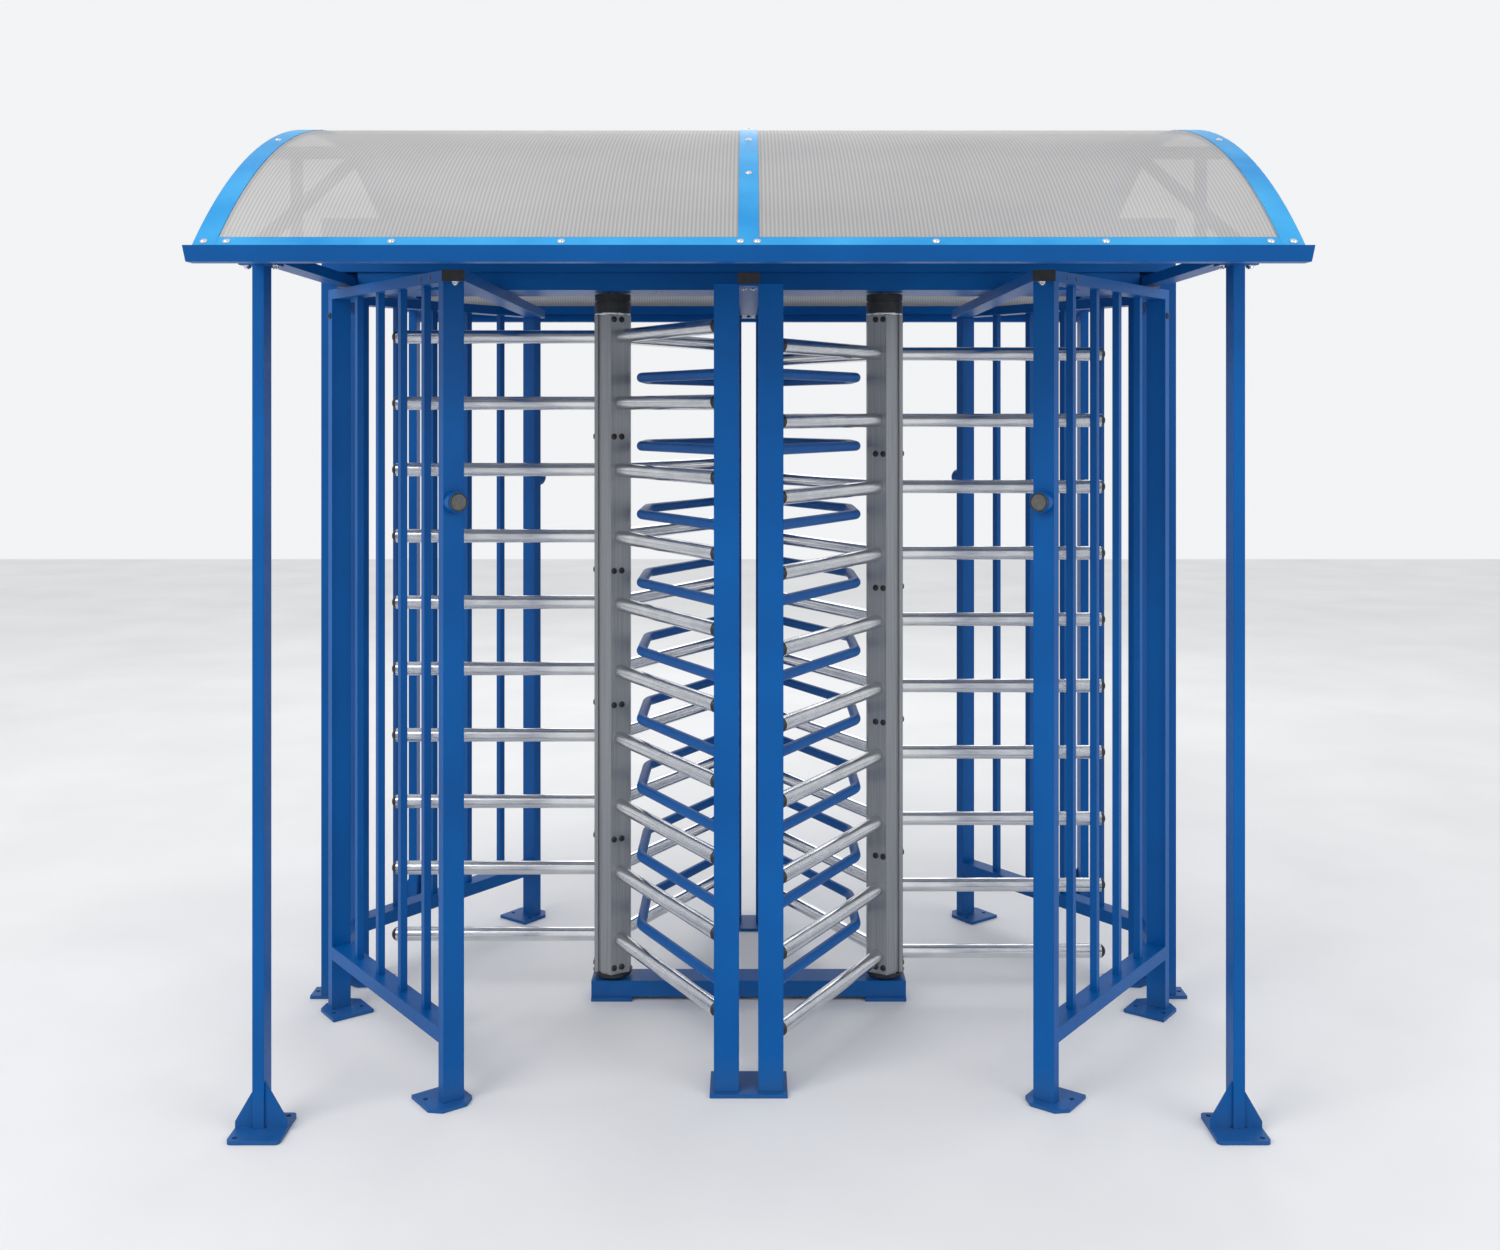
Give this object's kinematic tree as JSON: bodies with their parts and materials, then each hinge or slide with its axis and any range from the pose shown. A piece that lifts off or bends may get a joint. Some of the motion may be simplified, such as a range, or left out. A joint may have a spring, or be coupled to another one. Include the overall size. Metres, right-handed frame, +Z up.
{
  "type": "full-height turnstile",
  "caption": "Double full-height turnstile with interleaved rotors, a central comb of loops, angled side guards, a drive housing and a barrel-vaulted canopy.",
  "frame": {"origin": "centre of the footprint, at floor level", "axes": "+X across the two walkways, +Y along them from front to rear, +Z up"},
  "size_m": [2.756, 2.43, 2.707],
  "materials": {
    "blue_paint": "satin powder coat",
    "stainless": "polished",
    "column_aluminium": "anodised",
    "black_plastic": "satin",
    "roof_sheet": "translucent",
    "dark_disc": "satin"
  },
  "bodies": {
    "frame": {"floor_beam": "blue_paint", "rotor_pivots": "stainless", "left_comb_loops": "blue_paint", "right_comb_loops": "blue_paint", "front_centre_posts": "blue_paint", "rear_centre_posts": "blue_paint", "centre_feet": "blue_paint", "centre_top_beam": "blue_paint", "left_guard_posts": "blue_paint", "right_guard_posts": "blue_paint", "guard_feet": "blue_paint", "left_front_guard_panel": "blue_paint", "left_rear_guard_panel": "blue_paint", "right_front_guard_panel": "blue_paint", "right_rear_guard_panel": "blue_paint", "side_ties": "blue_paint", "guard_top_beams": "blue_paint", "beam_end_caps": "black_plastic", "head_base_box": "blue_paint", "head_drive_cover": "blue_paint", "corner_posts": "blue_paint", "corner_feet": "blue_paint", "side_posts": "blue_paint", "canopy_side_beams": "blue_paint", "front_eave_beam": "blue_paint", "rear_eave_beam": "blue_paint", "front_gutter": "blue_paint", "rear_gutter": "blue_paint", "eave_rails": "blue_paint", "left_end_arch": "blue_paint", "right_end_arch": "blue_paint", "centre_arch": "blue_paint", "left_roof_sheet": "roof_sheet", "right_roof_sheet": "roof_sheet", "roof_purlins": "blue_paint", "end_trusses": "blue_paint", "reader_housings": "blue_paint", "reader_faces": "dark_disc"},
    "left_rotor": {"left_rotor_column": "column_aluminium", "left_rotor_arms": "stainless", "left_rotor_arm_caps": "black_plastic", "left_rotor_hubs": "black_plastic"},
    "right_rotor": {"right_rotor_column": "column_aluminium", "right_rotor_arms": "stainless", "right_rotor_arm_caps": "black_plastic", "right_rotor_hubs": "black_plastic"}
  },
  "joints": [
    {"name": "left_rotor_turn", "type": "hinge", "parent": "frame", "child": "left_rotor", "pos_m": [-0.43, 0, 0.067], "axis": [0, 0, 1], "continuous": true},
    {"name": "right_rotor_turn", "type": "hinge", "parent": "frame", "child": "right_rotor", "pos_m": [0.43, 0, 0.067], "axis": [0, 0, 1], "continuous": true}
  ]
}
